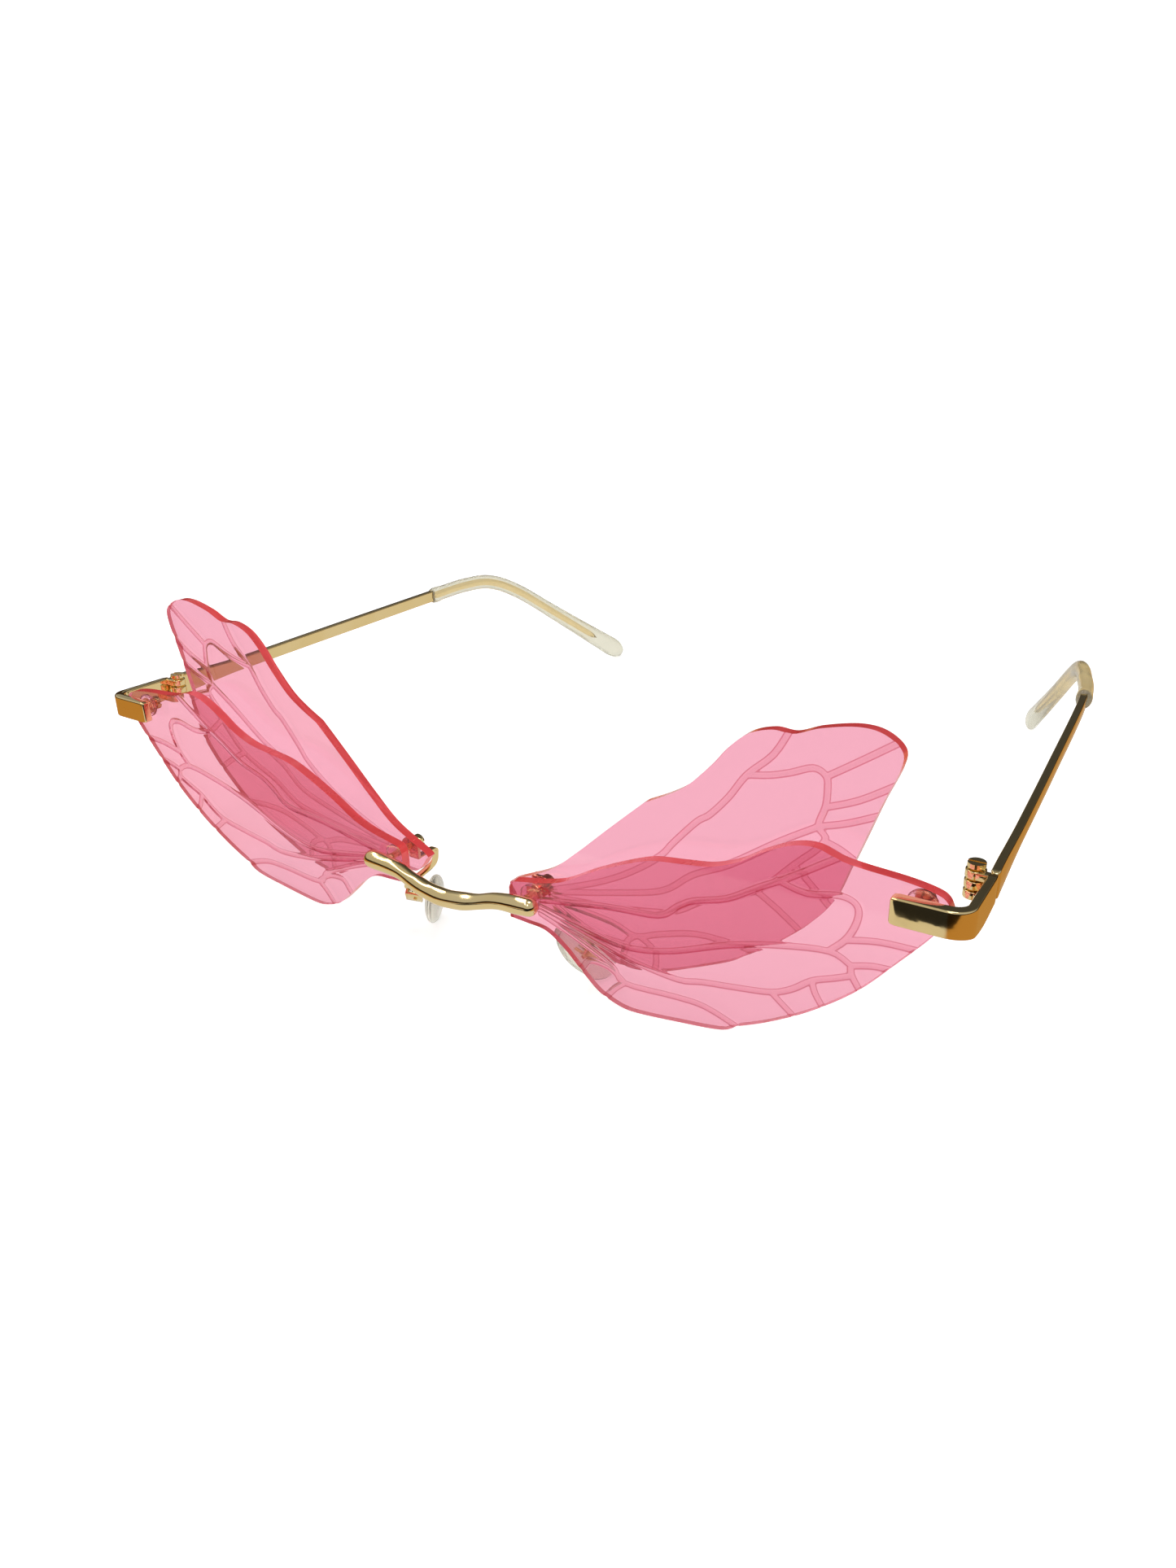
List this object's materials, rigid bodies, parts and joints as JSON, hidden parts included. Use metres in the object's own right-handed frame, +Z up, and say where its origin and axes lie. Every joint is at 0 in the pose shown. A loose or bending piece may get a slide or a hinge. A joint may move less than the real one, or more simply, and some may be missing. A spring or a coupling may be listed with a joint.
{
  "type": "sunglasses",
  "caption": "Rimless sunglasses with overlapping pink lenses cut as insect wings, a gold twig-like bridge, rocking nose pads and folding gold temples with clear sleeves.",
  "frame": {"origin": "centre of the bounding box's base, on the surface that the nose pads and the temple ends rest on", "axes": "+X towards the wearer's left, +Y back along the temples, +Z up from the surface"},
  "size_m": [0.1516, 0.1396, 0.0541],
  "materials": {
    "pink_lens": "clear tinted, polished, with fine engraved vein lines",
    "gold_metal": "polished gold plating",
    "clear_plastic": "clear, moulded, slightly soft"
  },
  "bodies": {
    "front": {"bridge_bar": "gold_metal", "front_wing_left": "pink_lens", "rear_wing_left": "pink_lens", "lens_spacer_left": "clear_plastic", "bridge_screw_left": "gold_metal", "pad_arm_left": "gold_metal", "pad_pin_left": "gold_metal", "end_piece_left": "gold_metal", "end_washer_left": "clear_plastic", "end_screw_left": "gold_metal", "hinge_screw_left": "gold_metal", "front_wing_right": "pink_lens", "rear_wing_right": "pink_lens", "lens_spacer_right": "clear_plastic", "bridge_screw_right": "gold_metal", "pad_arm_right": "gold_metal", "pad_pin_right": "gold_metal", "end_piece_right": "gold_metal", "end_washer_right": "clear_plastic", "end_screw_right": "gold_metal", "hinge_screw_right": "gold_metal"},
    "temple_left": {"temple_left": "gold_metal", "temple_sleeve_left": "clear_plastic"},
    "nose_pad_left": {"nose_pad_left": "clear_plastic"},
    "temple_right": {"temple_right": "gold_metal", "temple_sleeve_right": "clear_plastic"},
    "nose_pad_right": {"nose_pad_right": "clear_plastic"}
  },
  "joints": [
    {"name": "temple_left_hinge", "type": "hinge", "parent": "front", "child": "temple_left", "pos_m": [0.07267, -0.05231, 0.03384], "axis": [0, 0.0695, 0.9976], "range_deg": [0, 80]},
    {"name": "temple_right_hinge", "type": "hinge", "parent": "front", "child": "temple_right", "pos_m": [-0.07267, -0.05231, 0.03384], "axis": [0, -0.0695, -0.9976], "range_deg": [0, 83]},
    {"name": "nose_pad_left_rock", "type": "hinge", "parent": "front", "child": "nose_pad_left", "pos_m": [0.01728, -0.05586, 0.00781], "axis": [0.2588, 0.7732, 0.5789], "range_deg": [-8, 8]},
    {"name": "nose_pad_right_rock", "type": "hinge", "parent": "front", "child": "nose_pad_right", "pos_m": [-0.01728, -0.05586, 0.00781], "axis": [0.2588, -0.7732, -0.5789], "range_deg": [-8, 8]}
  ]
}
